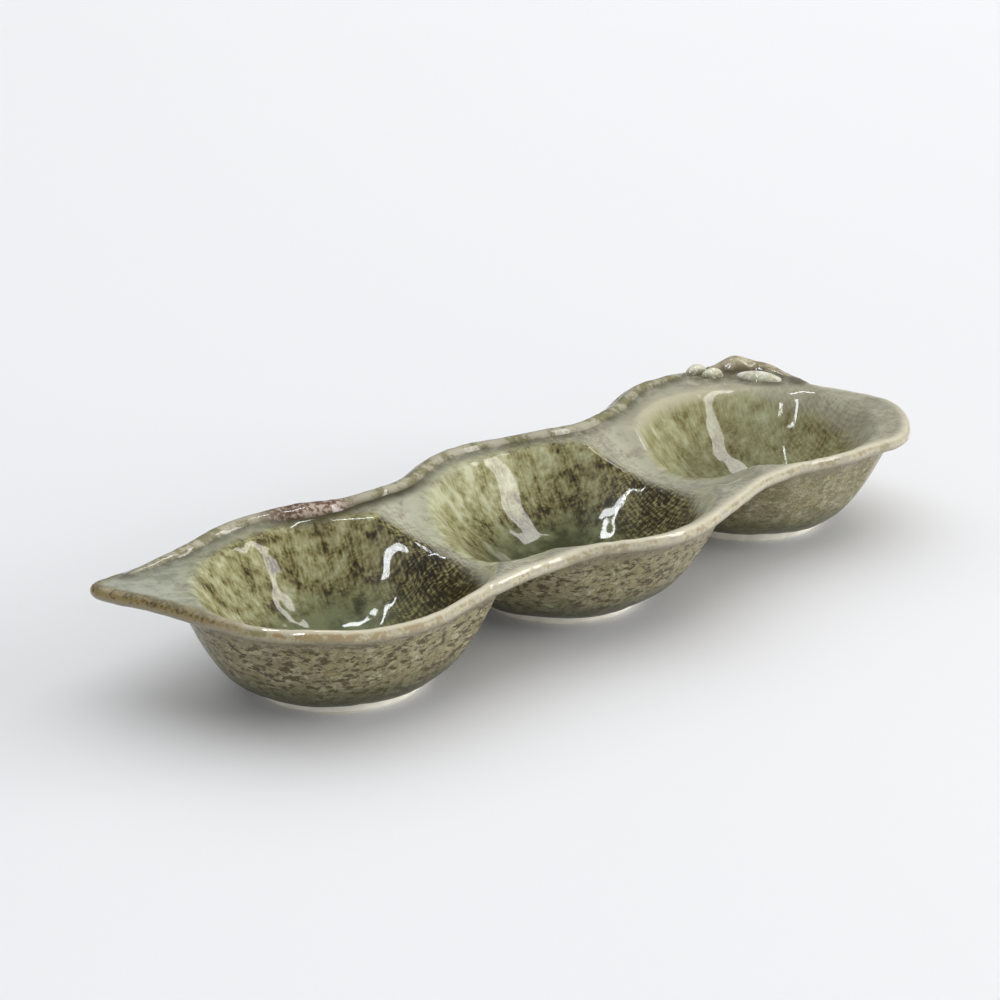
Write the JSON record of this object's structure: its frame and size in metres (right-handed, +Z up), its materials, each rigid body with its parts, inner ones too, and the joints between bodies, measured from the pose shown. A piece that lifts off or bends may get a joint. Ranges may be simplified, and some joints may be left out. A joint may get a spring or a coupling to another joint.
{
  "type": "condiment dish",
  "caption": "Glazed stoneware condiment dish in the form of a pea pod, with round wells in a row, a beaked tip, a raised seam, a stalk with buds and a leaf, and bare clay foot rings.",
  "frame": {"origin": "on the table under the middle of the dish's box", "axes": "+X along the pod from the tip to the stalk, +Y across the pod toward the seam, +Z up"},
  "size_m": [0.2578, 0.0914, 0.0354],
  "materials": {
    "glaze": "glossy mottled olive brown over pale green, with a fine cloth mark",
    "leaf_glaze": "glossy pale green glaze",
    "bare_clay": "matt unglazed stoneware"
  },
  "bodies": {
    "root": {"pod_shell": "glaze", "tip_foot": "bare_clay", "middle_foot": "bare_clay", "stem_foot": "bare_clay", "seam_rib": "glaze", "stem_stalk": "glaze", "leaf": "leaf_glaze", "outer_bud": "leaf_glaze", "inner_bud": "leaf_glaze"}
  },
  "joints": []
}
